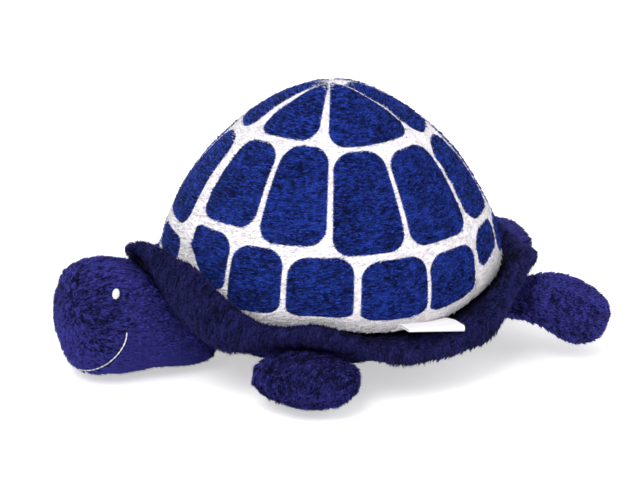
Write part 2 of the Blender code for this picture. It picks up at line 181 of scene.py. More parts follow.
class Finish(Graph):
    def __init__(self, name, roughness, sheen=0, sheen_tint=(1, 1, 1)):
        self.material = bpy.data.materials.new(name)
        super().__init__(self.material)
        self.shader = self.nodes["Principled BSDF"]
        constants = {
            "Roughness": roughness,
            "Sheen Weight": sheen,
            "Sheen Tint": (*sheen_tint, 1),
            "Sheen Roughness": SHEEN_ROUGHNESS,
            "Specular IOR Level": SPECULAR,
        }
        for socket, value in constants.items():
            self.shader.inputs[socket].default_value = value

    def place(self, scale=(1, 1, 1)):
        """Object coordinates, stretched where the scale is small."""
        here = self.node("ShaderNodeTexCoord", {}, {}, "Object")
        return self.node("ShaderNodeMapping", {}, {"Vector": here, "Scale": scale})

    def noise(self, where, scale, detail):
        values = {"Vector": where, "Scale": scale, "Detail": detail}
        return self.node("ShaderNodeTexNoise", {}, values)

    def attribute(self, name):
        return self.node("ShaderNodeAttribute", {"attribute_name": name}, {}, "Fac")

    def mix(self, share, first, second):
        pair = [(*c, 1) if isinstance(c, tuple) else c for c in (first, second)]
        values = {0: share, 6: pair[0], 7: pair[1]}
        return self.node("ShaderNodeMix", {"data_type": "RGBA"}, values, 2)

    def bump(self, height, distance):
        made = self.node("ShaderNodeBump", {}, {"Height": height, "Distance": distance})
        self.join(made, self.shader.inputs["Normal"])

    def colour(self, value):
        self.join(value, self.shader.inputs["Base Color"])


print("shader helpers are ready")

# %% [markdown]
# ## Light, floor and background
#
# Soft light leaves the toy's colours plain. The world lights it evenly, one wide lamp above the
# camera's left gives the covers their roundness, and a weak one fills from the right. The camera
# sees the world as plain white, and so do gloss and glass, while the floor keeps a faint shadow.

# %% Studio
WORLD_LIGHT = 0.82
KEY_POWER, FILL_POWER = 13.5, 3.0
KEY_PLACE, FILL_PLACE = (0.75, -0.75, 1.25), (0.9, 0.9, 0.7)
LAMP_SIZE, FLOOR_SIZE = 0.9, 6
PALE, FLOOR_GLOW = (0.9, 0.9, 0.9), (0.5, 0.5, 0.5)


def add_world():
    world = bpy.data.worlds.new("studio")
    bpy.context.scene.world = world
    graph = Graph(world)
    kinds = ("Is Camera Ray", "Is Glossy Ray", "Is Transmission Ray")
    seen = sum(graph.node("ShaderNodeLightPath", {}, {}, kind) for kind in kinds)
    background = graph.nodes["Background"].inputs
    background["Color"].default_value = (1, 1, 1, 1)
    graph.join(graph.spread(seen, 0, 1) * (1 - WORLD_LIGHT) + WORLD_LIGHT, background["Strength"])


def add_lamp(name, place, power):
    data = bpy.data.lights.new(name, "AREA")
    data.energy, data.size = power, LAMP_SIZE
    aim(placed(name, data), place, -Vector(place))


def add_floor():
    """A wide sheet that the camera sees as white, except where the turtle shades it."""
    bm = bmesh.new()
    bmesh.ops.create_grid(bm, x_segments=1, y_segments=1, size=FLOOR_SIZE / 2)
    floor = mesh_object(bm, "floor")
    look = Finish("floor_paper", roughness=1)
    look.shader.inputs["Specular IOR Level"].default_value = 0
    look.colour((*PALE, 1))
    ray = look.node("ShaderNodeLightPath", {}, {}, "Is Camera Ray")
    glow = look.mix(ray, (0, 0, 0), FLOOR_GLOW)
    look.join(glow, look.shader.inputs["Emission Color"])
    look.shader.inputs["Emission Strength"].default_value = 1
    floor.data.materials.append(look.material)


bpy.context.scene.view_settings.view_transform = "Standard"
add_world()
add_lamp("key_lamp", KEY_PLACE, KEY_POWER)
add_lamp("fill_lamp", FILL_PLACE, FILL_POWER)
add_floor()
print("lamps and floor are in place")

# %% [markdown]
# ## The forms that the covers follow
#
# Every cover lies where the frame's panels lie, so the same few formulas give both. The shell is
# a pointed dome that rises from its lower seam, and the rim is a padded roll sewn below that
# seam. Both follow one wave, which climbs over the head, the flippers and the feet.

# %% Shell and rim formulas
DOME_HALF_WIDTH, DOME_HALF_LENGTH = 0.065, 0.0685
DOME_WIDEST_Z, DOME_RISE, DOME_TUCK, DOME_POWER = 0.036, 0.074, 0.045, 1.21
WAVE_CENTRES, WAVE_SPREADS = (0, 62, 150), (26, 20, 26)
SEAM_Z, SEAM_RISES = 0.0265, (0.014, 0.0045, 0.007)
RIM_Z, RIM_RISES = 0.0195, (0.0308, 0.012, 0.019)
RIM_HALF_WIDTH, RIM_HALF_LENGTH, RIM_REAR_OVERHANG = 0.076, 0.081, 0.0015
RIM_ROOT_TUCK, RIM_ROOT_HALF, RIM_ROOT_DROP = 0.0025, 0.0026, 0.0037
RIM_ROLL_UP, RIM_ROLL_DOWN = 0.0057, 0.0055
RIM_SWELL, RIM_SWELL_HEADING, RIM_SWELL_SPREAD = 0.0165, 26, 12
RIM_SAG, RIM_SAG_HEADING, RIM_SAG_SPREAD = 0.0075, 127, 10
BELLY_TUCK, BELLY_FLAT, BELLY_EDGE_DROP = 0.002, 0.0005, 0.0069
BELLY_POWER, BELLY_FRONT_POWER = 2.6, 2.4
BODY_CENTRE = Vector((0, 0, DOME_WIDEST_Z))


def headings_of(points):
    return np.degrees(np.arctan2(points[:, 0], -points[:, 1]))


def plan_radius(heading, half_width, half_length):
    direction = outward(heading)
    return 1 / math.hypot(direction.x / half_width, direction.y / half_length)


def one_bump(heading, centre, spread):
    away = (heading - centre + 180) % 360 - 180
    return math.exp(-((away / spread) ** 2))


def bump_at(heading, centre, spread):
    """A bump on each side of the turtle, or the one bump where the two would fall together."""
    return sum(one_bump(heading, middle, spread) for middle in {centre, -centre})


def wave(heading, level, rises):
    waves = zip(WAVE_CENTRES, WAVE_SPREADS, rises)
    return level + sum(rise * bump_at(heading, centre, spread) for centre, spread, rise in waves)


def seam_height(heading):
    return wave(heading, SEAM_Z, SEAM_RISES)


def seam_lift(heading):
    above = seam_height(heading) - DOME_WIDEST_Z
    share = abs(above) / (DOME_RISE if above > 0 else DOME_TUCK)
    return math.copysign(math.asin(share ** (1 / DOME_POWER)), above)


def dome_point(heading, lift):
    radius = plan_radius(heading, DOME_HALF_WIDTH, DOME_HALF_LENGTH)
    rise = DOME_RISE if lift > 0 else -DOME_TUCK
    height = DOME_WIDEST_Z + rise * abs(math.sin(lift)) ** DOME_POWER
    return at(heading, radius * max(math.cos(lift), 0) ** DOME_POWER, height)


def seam_radius(heading):
    return dome_point(heading, seam_lift(heading)).xy.length


def rim_point(heading, turn):
    """Turn 0 is the sewn root, 90 the top, 180 the outer edge and 270 the underside."""
    root = seam_radius(heading) - RIM_ROOT_TUCK
    overhang = RIM_REAR_OVERHANG * (1 - math.cos(math.radians(heading))) / 2
    edge = plan_radius(heading, RIM_HALF_WIDTH, RIM_HALF_LENGTH) + overhang
    share = (1 - math.cos(math.radians(turn))) / 2
    eased = share * share * (3 - 2 * share)
    low = seam_height(heading) - RIM_ROOT_DROP
    middle = low + (wave(heading, RIM_Z, RIM_RISES) - low) * eased
    swell = RIM_SWELL * bump_at(heading, RIM_SWELL_HEADING, RIM_SWELL_SPREAD)
    sag = RIM_SAG * bump_at(heading, RIM_SAG_HEADING, RIM_SAG_SPREAD)
    roll = RIM_ROLL_UP + swell if turn < 180 else RIM_ROLL_DOWN + sag
    half = RIM_ROOT_HALF + (roll - RIM_ROOT_HALF) * eased
    height = middle + half * math.sin(math.radians(turn))
    return at(heading, root + (edge - root) * share, height)


def belly_point(heading, share):
    radius = seam_radius(heading) - BELLY_TUCK
    power = BELLY_POWER + BELLY_FRONT_POWER * bump_at(heading, 0, WAVE_SPREADS[0]) / 2
    edge = seam_height(heading) - BELLY_EDGE_DROP
    height = max(edge * share**power - BELLY_FLAT * (1 - share), 0)
    return at(heading, radius * share, height)


print("top of the shell in mm:", round(1000 * dome_point(0, math.pi / 2).z))

# %% [markdown]
# ## Cloth from a grid
#
# A sewn cover is easiest to start as a flat grid, like the cloth it is cut from. `formed` moves
# each of its points to a place that a formula gives, and merges the points that meet where the
# cloth closes on itself or draws in to a tip. The outward side is checked against a point inside.


# %% Grid to cover
MERGE = 1e-5
SEAM_DEPTH, SEAM_REACH = 0.0009, 0.0016
PUCKER_DEPTH, PUCKER_STEP = 0.25, 0.0011
PILE_ROOM = 0.0012  # how far the navy covers lie inside the frame's panels


def formed(name, columns, rows, place, inside, closed=False):
    """A grid of cloth, its points moved to where place(across, along) says."""
    bm = bmesh.new()
    bmesh.ops.create_grid(bm, x_segments=columns, y_segments=rows, size=0.5)
    for vert in bm.verts:
        vert.co = place(vert.co.x + 0.5, vert.co.y + 0.5)
    bmesh.ops.remove_doubles(bm, verts=bm.verts, dist=MERGE)
    if closed:
        bmesh.ops.holes_fill(bm, edges=bm.edges)
    bmesh.ops.recalc_face_normals(bm, faces=bm.faces)
    facing = sum((f.calc_center_median() - inside).dot(f.normal) * f.calc_area() for f in bm.faces)
    if facing < 0:
        bmesh.ops.reverse_faces(bm, faces=bm.faces)
    made = mesh_object(bm, name)
    print(name, "has", len(made.data.polygons), "faces")
    return made


def uneven(cover, lumps, inset=0):
    """Each point moves in for the pile, and by lumps: a noise's height, size and seed."""
    height, size, seed = lumps
    shift = Vector((seed, 0, 0))
    ways = [v.vector.copy() for v in cover.data.vertex_normals]
    for vert, way in zip(cover.data.vertices, ways):
        vert.co += way * (height * noise.noise(vert.co / size + shift) - inset)
    cover.data.update()


def seam_dip(distance, along):
    """How far a sewn edge pulls the cloth in, with small puckers along it."""
    pucker = 1 - PUCKER_DEPTH + PUCKER_DEPTH * math.sin(along / PUCKER_STEP)
    return SEAM_DEPTH * pucker * math.exp(-((distance / SEAM_REACH) ** 2))


# %% [markdown]
# ## Shell covers
#
# The shell is three printed panels. Each starts at its lower seam, where the rim is sewn on, and
# narrows to the top. The seams between them aren't quite upright. Near a seam the cloth turns in,
# so a shallow groove shows where two panels meet.

# %% Shell covers
SHELL_PANELS = ("left", "rear", "right")
SHELL_SEAM_HEADINGS, SHELL_SEAM_TWISTS = (12, 130, 250), (-8, 16, 0)
PANEL_COLUMNS, PANEL_ROWS = 120, 84
SHELL_LUMPS = (0.0007, 0.022, 3)
TOP_FADE = 8  # the grooves fade out over the last eighth of the way up


def panel_edges(number, step):
    edges = [h + t * step for h, t in zip(SHELL_SEAM_HEADINGS, SHELL_SEAM_TWISTS)]
    edges.append(edges[0] + 360)
    return edges[number], edges[number + 1]


def shell_cover(number, side):
    def place(across, along):
        start, end = panel_edges(number, along)
        heading = start + (end - start) * across
        low = seam_lift(heading)
        lift = low + (math.pi / 2 - low) * along
        point = dome_point(heading, lift)
        arc = point.xy.length * math.radians(end - start) * min(across, 1 - across)
        dip = seam_dip(arc, point.z) * min(1, (1 - along) * TOP_FADE)
        return point + (BODY_CENTRE - point).normalized() * dip

    cover = formed(f"shell_cover_{side}", PANEL_COLUMNS, PANEL_ROWS, place, BODY_CENTRE)
    uneven(cover, SHELL_LUMPS)
    return cover


shell_covers = {side: shell_cover(n, side) for n, side in enumerate(SHELL_PANELS)}

# %% [markdown]
# ## Rim and belly covers
#
# The rim is one long padded roll, thin at its root and fat at its outer edge, with a seam just
# under that edge. Its grid runs round the body and round the roll, and closes both ways. The
# belly cover is a shallow bowl that lies flat in the middle.

# %% Rim and belly covers
RIM_SEAM_TURN = 197
RIM_COLUMNS, RIM_ROWS = 330, 36
RIM_LUMPS = (0.0012, 0.016, 11)
RIM_HEART = 0.25  # how far the roll's middle lies from its outer edge to its root
RIM_DEGREE = 0.0013  # about the length of one degree of the rim's edge
BELLY_COLUMNS, BELLY_ROWS = 150, 30
# How far the cloth bulges past its plain roll: heading, spread, height above and height below
RIM_BULGES = ((34, 12, 0.009, 0.001), (12, 10, 0.006, 0.0045), (-20, 16, -0.015, 0))


def rim_cover():
    def place(across, along):
        heading, turn = 360 * across, 360 * along
        point = rim_point(heading, turn)
        inner = rim_point(heading, 180).lerp(rim_point(heading, 0), RIM_HEART)
        arc = math.radians(turn - RIM_SEAM_TURN) * RIM_ROLL_DOWN
        point += (inner - point).normalized() * seam_dip(arc, heading * RIM_DEGREE)
        angle = math.radians(turn)
        level, outer = math.sin(angle), (1 - math.cos(angle)) / 2
        for centre, spread, above, below in RIM_BULGES:
            share = max(level, 0) * above + min(level, 0) * below
            point.z += share * math.sqrt(outer) * one_bump(heading, centre, spread)
        return point

    cover = formed("rim_cover", RIM_COLUMNS, RIM_ROWS, place, Vector((0, 0, RIM_Z)))
    uneven(cover, RIM_LUMPS, PILE_ROOM / 2)
    return cover


def belly_cover():
    def place(across, along):
        return belly_point(360 * across, along)

    return formed("belly_cover", BELLY_COLUMNS, BELLY_ROWS, place, BODY_CENTRE)


rim = rim_cover()
belly = belly_cover()

# %% [markdown]
# ## Head, flippers and feet
#
# A stuffed limb is given by a few stations along it: how far out each is, and its half width,
# half thickness, height and lean or sweep, all as shares of the limb's own sizes. A smooth curve
# through the stations gives every place between them, and it rounds the tip because the station
# beyond the tip mirrors the one before it.

# %% Stations of the head and limbs
HEAD_LENGTH, HEAD_HALF_WIDTH, HEAD_HALF_HEIGHT = 0.058, 0.024, 0.0233
HEAD_CENTRE_Z, HEAD_ROOT_Z, HEAD_LEAN = 0.0238, 0.017, 0.74
HEAD_HINGE = Vector((0, -0.05567, 0.017))
HEAD_SHARES = (
    (0.0, 0.08, 0.5, 0.7, 1.0),
    (0.08, 0.7, 0.64, 0.7, 0.8),
    (0.18, 0.84, 0.77, 0.76, 0.45),
    (0.32, 0.92, 0.86, 0.86, 0.15),
    (0.48, 0.97, 0.95, 0.96, 0.0),
    (0.63, 1.0, 1.0, 1.0, 0.0),
    (0.78, 0.98, 0.99, 1.01, 0.0),
    (0.9, 0.84, 0.87, 1.02, 0.0),
    (0.97, 0.56, 0.58, 1.0, 0.0),
    (1.0, 0.0, 0.0, 1.0, 0.0),
)
# Of a flipper and a foot: length, half width, half thickness and sweep towards the rear
FLIPPER_SIZES, FOOT_SIZES = (0.037, 0.0222, 0.0113, 0.0035), (0.0515, 0.0165, 0.0115, 0)
FLIPPER_HINGE, FLIPPER_HEADING, FLIPPER_PITCH = Vector((0.04816, -0.02561, 0.0165)), 62, -11
FLIPPER_SHARES = (
    (0.0, 0.55, 0.16, -0.16, 0.0),
    (0.12, 0.76, 0.4, -0.22, 0.02),
    (0.3, 0.95, 0.74, -0.06, 0.1),
    (0.48, 1.0, 0.95, 0.08, 0.25),
    (0.66, 0.97, 0.97, 0.14, 0.48),
    (0.82, 0.79, 0.78, 0.1, 0.72),
    (0.94, 0.46, 0.44, 0.0, 0.92),
    (1.0, 0.0, 0.0, 0.0, 1.0),
)
FOOT_HINGE, FOOT_HEADING, FOOT_PITCH = Vector((0.02167, 0.05795, 0.022)), 143.5, 0
FOOT_SHARES = (
    (0.0, 0.62, 0.15, -0.15, 0.0),
    (0.12, 0.74, 0.39, -0.28, 0.0),
    (0.3, 0.84, 0.7, -0.08, 0.0),
    (0.47, 0.93, 0.93, -0.02, 0.0),
    (0.62, 1.0, 1.03, -0.22, 0.0),
    (0.76, 1.0, 1.0, -0.45, 0.0),
    (0.88, 0.84, 0.82, -0.5, 0.0),
    (0.96, 0.52, 0.5, -0.48, 0.0),
    (1.0, 0.0, 0.0, -0.45, 0.0),
)


def smooth_row(rows, along):
    """The shares at 0 to 1 along the stations, on a smooth curve through them."""
    before = [2 * a - b for a, b in zip(rows[0], rows[1])]
    near_tip = rows[-2]
    beyond = [near_tip[0], -near_tip[1], -near_tip[2], *near_tip[3:]]
    padded = [before, *rows, beyond]
    place = along * (len(rows) - 1)
    number = min(int(place), len(rows) - 2)
    t = place - number
    return [
        b + 0.5 * t * (c - a + t * (2 * a - 5 * b + 4 * c - d + t * (3 * (b - c) + d - a)))
        for a, b, c, d in zip(*padded[number : number + 4])
    ]


def head_point(turn, along):
    length, wide, high, middle, lean = smooth_row(HEAD_SHARES, along)
    angle = math.radians(turn)
    up = HEAD_CENTRE_Z * middle - HEAD_ROOT_Z + HEAD_HALF_HEIGHT * high * math.sin(angle)
    out = HEAD_LENGTH * length + HEAD_LEAN * lean * up
    return HEAD_HINGE + Vector((HEAD_HALF_WIDTH * wide * math.cos(angle), -out, up))


def limb_axes(heading, pitch):
    """Columns that run out along the limb, across it towards the rear, and up."""
    out = outward(heading) * math.cos(math.radians(pitch))
    out.z = math.sin(math.radians(pitch))
    across = outward(heading + 90)
    return Matrix((out, across, out.cross(across))).transposed()


FLIPPER_AXES = limb_axes(FLIPPER_HEADING, FLIPPER_PITCH)
FOOT_AXES = limb_axes(FOOT_HEADING, FOOT_PITCH)


def limb_point(hinge, axes, sizes, shares, turn):
    """The point at a turn round a limb, from the shares at one place along it."""
    length, wide, high, rise, sweep = shares
    whole, half_width, half_thickness, whole_sweep = sizes
    angle = math.radians(turn)
    back = half_width * wide * math.cos(angle) + whole_sweep * sweep
    up = half_thickness * (rise + high * math.sin(angle))
    return hinge + axes @ Vector((whole * length, back, up))


def flipper_point(turn, along):
    shares = smooth_row(FLIPPER_SHARES, along)
    return limb_point(FLIPPER_HINGE, FLIPPER_AXES, FLIPPER_SIZES, shares, turn)


def foot_point(turn, along):
    shares = smooth_row(FOOT_SHARES, along)
    return limb_point(FOOT_HINGE, FOOT_AXES, FOOT_SIZES, shares, turn)


print("snout in mm:", round(1000 * head_point(0, 1).y))

# %% Head and limb covers
SEAM_TURNS = {"head": (90, 270), "front_flipper": (0, 180), "rear_foot": (0, 180)}
LIMB_RADII = {"head": 0.023, "front_flipper": 0.011, "rear_foot": 0.011}
COVER_GRIDS = {"head": (96, 60), "front_flipper": (72, 44), "rear_foot": (72, 56)}
LUMP_HEIGHT, LUMP_SIZE, LUMP_SEED = 0.0011, 0.014, 20
SEAM_LENGTH = 0.05  # about how long a limb's seam is, for its puckers
TIP_FADE = 6  # the power that lets the seam's dip end at the tip


def stuffed_cover(kind, name, point, side):
    """A closed cover, pulled in along the two seams between its panels."""

    def place(across, along):
        turn = 360 * across
        here = point(turn, along)
        inwards = (here.lerp(point(turn + 180, along), 0.5) - here).normalized()
        arcs = [abs((turn - s + 180) % 360 - 180) for s in SEAM_TURNS[kind]]
        arc = math.radians(min(arcs)) * LIMB_RADII[kind]
        spot = here + inwards * seam_dip(arc, along * SEAM_LENGTH) * (1 - along**TIP_FADE)
        spot.x *= side
        return spot

    inside = point(0, 0.5).lerp(point(180, 0.5), 0.5)
    inside.x *= side
    cover = formed(name, *COVER_GRIDS[kind], place, inside, closed=True)
    uneven(cover, (LUMP_HEIGHT, LUMP_SIZE, LUMP_SEED + side), PILE_ROOM)
    return cover


SIDES = {"left": 1, "right": -1}
head = stuffed_cover("head", "head_cover", head_point, 1)
limbs = {}
for side_name, side in SIDES.items():
    for kind, point in (("front_flipper", flipper_point), ("rear_foot", foot_point)):
        name = f"{kind}_{side_name}"
        limbs[name] = stuffed_cover(kind, name + "_cover", point, side)

# %% [markdown]
# ## The print on the shell
#
# The shell's cloth is white with rounded blue plates printed on it: two near the top of each
# panel, four below them and five along the lower edge. Each plate is given by where it starts and
# ends across its panel, as shares of the panel's width, and by how high up the dome it reaches.
# The distance from a point to the edge of the nearest plate then says how blue that point is.

# %% Printed plates
TOP_ROW = ((0.004, 0.405, 57, 87.5), (0.462, 0.975, 55, 88.5))
MIDDLE_ROW = (
    (0.006, 0.232, 28, 54.5),
    (0.252, 0.468, 25, 55.5),
    (0.487, 0.718, 22, 53.5),
    (0.735, 0.98, 22, 51.5),
)
LOWER_ROW = (
    (0.004, 0.172, 15.5, 25.5),
    (0.184, 0.345, 11, 23.6),
    (0.36, 0.552, 9.5, 21.8),
    (0.572, 0.778, 8.5, 19.8),
    (0.79, 0.98, 8.5, 18.5),
)
PRINT_STRETCH = (1, 1, 0.975)  # the third panel's plates stop short of the seam above the head
# Degrees by which each panel's plates sit lower, apart from the undersides of its lowest row
PRINT_DROPS = (0, 5, 0)
PLATE_LEAST = 8.5  # degrees that each plate reaches up the dome, also where the seam lies high
PLATE_ROUNDING, PLATE_ROUND_SHARE = 0.0075, 0.8
HALFWAY_UP, HIGH_DEGREE, LOW_DEGREE = 45, 0.00125, 0.00135  # how long a degree is, up the dome
PRINT_FUZZ = 0.2  # in millimetres
SEAM_HEADINGS = np.linspace(-180, 180, 721)
SEAM_LIFTS = np.degrees([seam_lift(h) for h in SEAM_HEADINGS])


def plate_distance(points):
    """For each point its distance to the nearest plate's edge, below zero inside a plate."""
    headings = headings_of(points)
    radius = np.hypot(points[:, 0], points[:, 1])
    above = points[:, 2] - DOME_WIDEST_Z
    share = np.clip(above / np.where(above > 0, DOME_RISE, DOME_TUCK), -1, 1)
    lifts = np.degrees(np.arcsin(np.sign(share) * np.abs(share) ** (1 / DOME_POWER)))
    lows = np.interp(headings, SEAM_HEADINGS, SEAM_LIFTS)
    steps = (lifts - lows) / (90 - lows)
    nearest = np.full(len(points), DOME_HALF_WIDTH)
    degree = np.where(lifts > HALFWAY_UP, HIGH_DEGREE, LOW_DEGREE)
    for number, stretch in enumerate(PRINT_STRETCH):
        start, end = panel_edges(number, 0)
        start_twist, end_twist = (b - a for a, b in zip((start, end), panel_edges(number, 1)))
        width = end - start + (end_twist - start_twist) * steps
        across = ((headings - start - start_twist * steps) % 360) / width
        for row, follows_seam in ((TOP_ROW, 0), (MIDDLE_ROW, 0), (LOWER_ROW, 1)):
            for first, last, low, high in row:
                high -= PRINT_DROPS[number]
                floor = lows + low if follows_seam else low - PRINT_DROPS[number]
                floor = np.minimum(floor, high - PLATE_LEAST)
                middle, half = (first + last) / 2 * stretch, (last - first) / 2 * stretch
                arc = radius * np.radians(width)
                tall = (high - floor) / 2
                sideways = (np.abs(across - middle) - half) * arc
                upward = (np.abs(lifts - (high + floor) / 2) - tall) * degree
                roundest = PLATE_ROUND_SHARE * np.minimum(half * arc, tall * degree)
                rounding = np.minimum(PLATE_ROUNDING, roundest)
                a, b = sideways + rounding, upward + rounding
                corner = np.hypot(np.maximum(a, 0), np.maximum(b, 0))
                nearest = np.minimum(nearest, corner + np.minimum(np.maximum(a, b), 0) - rounding)
    return nearest


def points_of(mesh, what="co"):
    source = mesh.vertices if what == "co" else mesh.vertex_normals
    flat = np.empty(3 * len(mesh.vertices), np.float32)
    source.foreach_get("co" if what == "co" else "vector", flat)
    return flat.reshape(-1, 3).astype(float)


def store(mesh, name, values):
    attribute = mesh.attributes.new(name, "FLOAT", "POINT")
    attribute.data.foreach_set("value", np.asarray(values, np.float32))


for cover in shell_covers.values():
    store(cover.data, "plate", plate_distance(points_of(cover.data)) * 1000)
print("plates on each panel:", len(TOP_ROW) + len(MIDDLE_ROW) + len(LOWER_ROW))

# %% [markdown]
# ## A pile of fibres
#
# Plush is a knitted ground with fibres standing in it, all combed one way. Here one fibre is a
# slim three-sided spike, and thousands of copies are rooted at random points of a cover. Each
# leans along the nap, and its tip is drawn towards the first fibre of its lock, so that the pile
# parts into small locks. A number kept on each fibre holds its shade: its own, its lock's, and
# the tone, painted light and painted shade that its place on the turtle adds.

# %% One fibre and its copies
FIBRE_SINK = 0.0001
LOCK_SIZE = 18  # fibres in a lock
LONG_OUTWARDS, LONG_ROUND, LONG_ACROSS = (1, 0.3, 1), (0.3, 1, 1), (1, 0.35, 0.35)
OWN_SHADE, LOCK_SHADE = 0.3, 0.4
OWN_MESS, LOCK_MESS = 0.1, 0.16  # how far a fibre, and a whole lock, strays from the nap
LOCK_PULL = 0.35  # how far a tip is drawn towards its lock's first fibre
SHORTEST, LONGEST = 0.7, 1.15
BAKE_CORNERS = np.array(((0.15, 0.15), (0.85, 0.15), (0.5, 0.85)))


def fibre_shape():
    bm = bmesh.new()
    bmesh.ops.create_cone(
        bm, cap_ends=True, cap_tris=False, segments=3, radius1=1, radius2=0, depth=1
    )
    bmesh.ops.remove_doubles(bm, verts=bm.verts, dist=MERGE)
    corners = np.array([v.co for v in bm.verts])
    corners[:, 2] += 0.5
    faces = np.array([[v.index for v in f.verts] for f in bm.faces])
    bm.free()
    return corners, faces


FIBRE_CORNERS, FIBRE_FACES = fibre_shape()
print("a fibre has", len(FIBRE_FACES), "faces")


def unit(vectors):
    return vectors / np.maximum(np.linalg.norm(vectors, axis=1, keepdims=True), 1e-9)


def roots_on(mesh, per_mm2, rng):
    """Random points spread evenly over a mesh, and the way out at each."""
    mesh.calc_loop_triangles()
    corners = np.empty(3 * len(mesh.loop_triangles), np.int32)
    mesh.loop_triangles.foreach_get("vertices", corners)
    corners = corners.reshape(-1, 3)
    places, normals = points_of(mesh), points_of(mesh, "normals")
    a, b, c = (places[corners[:, i]] for i in range(3))
    areas = np.linalg.norm(np.cross(b - a, c - a), axis=1) / 2
    count = int(areas.sum() * 1e6 * per_mm2)
    picked = rng.choice(len(areas), count, p=areas / areas.sum())
    u, v = rng.random((2, count, 1))
    folded = u + v > 1
    u, v = np.where(folded, 1 - u, u), np.where(folded, 1 - v, v)
    roots, ways = (
        sum(values[corners[picked, i]] * share for i, share in enumerate((1 - u - v, u, v)))
        for values in (places, normals)
    )
    return roots, unit(ways)


def lock_numbers(roots, size, stretch, rng):
    """Which lock each fibre belongs to: the one whose first fibre stands nearest.

    Distances are taken round the body, out from it and up, each times its share in stretch, so
    that a small share makes long locks that way.
    """
    leaders = rng.choice(len(roots), max(1, len(roots) // size), replace=False)
    radius = np.hypot(roots[:, 0], roots[:, 1])
    around = np.arctan2(roots[:, 0], -roots[:, 1]) * radius
    places = np.stack((around, radius, roots[:, 2]), axis=1) * stretch
    tree = KDTree(len(leaders))
    for number, leader in enumerate(leaders):
        tree.insert(places[leader], number)
    tree.balance()
    return leaders, np.array([tree.find(place)[1] for place in places])


# %% From roots to a mesh of fibres
def fibre_ways(roots, normals, nap, lean):
    """Along the nap, and up from the cloth; lean 0 stands up and 1 lies flat."""
    ways = nap(roots, normals)
    ways = unit(ways - normals * np.sum(ways * normals, axis=1, keepdims=True))
    return ways * lean + normals * (1 - lean)


def fibre_corners(roots, normals, spans, radius):
    """Where each corner of each fibre stands; a span runs from a fibre's root to its tip."""
    side = unit(np.cross(spans, normals))
    third = np.cross(side, unit(spans))
    base = roots - normals * FIBRE_SINK
    return (
        base[:, None]
        + radius * FIBRE_CORNERS[None, :, 0:1] * side[:, None]
        + radius * FIBRE_CORNERS[None, :, 1:2] * third[:, None]
        + FIBRE_CORNERS[None, :, 2:3] * spans[:, None]
    )


def fibre_mesh(name, corners):
    first = np.arange(len(corners)) * len(FIBRE_CORNERS)
    faces = (first[:, None, None] + FIBRE_FACES[None]).reshape(-1)
    mesh = bpy.data.meshes.new(name)
    mesh.vertices.add(corners.shape[0] * corners.shape[1])
    mesh.vertices.foreach_set("co", corners.astype(np.float32).ravel())
    mesh.loops.add(len(faces))
    mesh.loops.foreach_set("vertex_index", faces.astype(np.int32))
    mesh.polygons.add(len(faces) // 3)
    mesh.polygons.foreach_set("loop_start", np.arange(0, len(faces), 3, dtype=np.int32))
    mesh.update(calc_edges=True)
    mesh.shade_smooth()
    return mesh


def add_bake_map(mesh, count):
    """Where a bake puts each fibre's colour: one spot that all its faces share."""
    across = math.ceil(math.sqrt(count))
    cells = np.stack((np.arange(count) % across, np.arange(count) // across), axis=1)
    spots = cells[:, None, None] + BAKE_CORNERS[None, None]
    spots = np.broadcast_to(spots, (count, len(FIBRE_FACES), 3, 2)) / across
    mesh.uv_layers.new(name="OFBake").uv.foreach_set("vector", spots.astype(np.float32).ravel())


def grow_pile(name, cover, look, per_mm2, length, radius, lean, nap, seed, **more):
    """Fibres on a cover; what some piles alone are told, such as their locks, is in more."""
    rng = np.random.default_rng(seed)
    roots, normals = roots_on(cover.data, per_mm2, rng)
    if "where" in more:
        wanted = more["where"](roots)
        roots, normals = roots[wanted], normals[wanted]
    count = len(roots)
    stretch = more.get("stretch", LONG_OUTWARDS)
    leaders, lock_of = lock_numbers(roots, more.get("lock_size", LOCK_SIZE), stretch, rng)
    own_mess = rng.normal(0, more.get("mess", OWN_MESS), (count, 3))
    lock_mess = rng.normal(0, more.get("lock_mess", LOCK_MESS), (len(leaders), 3))[lock_of]
    ways = unit(fibre_ways(roots, normals, nap, lean) + own_mess + lock_mess)
    lengths = length * rng.uniform(SHORTEST, LONGEST, (count, 1))
    tips = roots + ways * lengths
    tips += (tips[leaders][lock_of] - tips) * LOCK_PULL
    spans = unit(tips - roots) * lengths
    mesh = fibre_mesh(name, fibre_corners(roots, normals, spans, radius))
    shade = 0.5 + OWN_SHADE * rng.uniform(-1, 1, count)
    shade += more.get("lock_shade", LOCK_SHADE) * rng.uniform(-1, 1, len(leaders))[lock_of]
    # A place's tone, painted light and painted shade, added to its fibres' shades
    if "brushed" in more:
        shade += more["brushed"](roots)
    rise = FIBRE_CORNERS[None, :, 2]
    store(mesh, "shade", np.repeat(shade, len(FIBRE_CORNERS)))
    store(mesh, "tip", np.tile(rise[0], count))
    if "bleed" in more:
        astray = rng.normal(0, more["bleed"], (count, 3))
        below, above = (plate_distance(p + astray) * 1000 for p in (roots, tips))
        store(mesh, "plate", (below[:, None] * (1 - rise) + above[:, None] * rise).ravel())
    add_bake_map(mesh, count)
    mesh.materials.append(look.material)
    print(name, "has", count, "fibres")
    return placed(name, mesh)
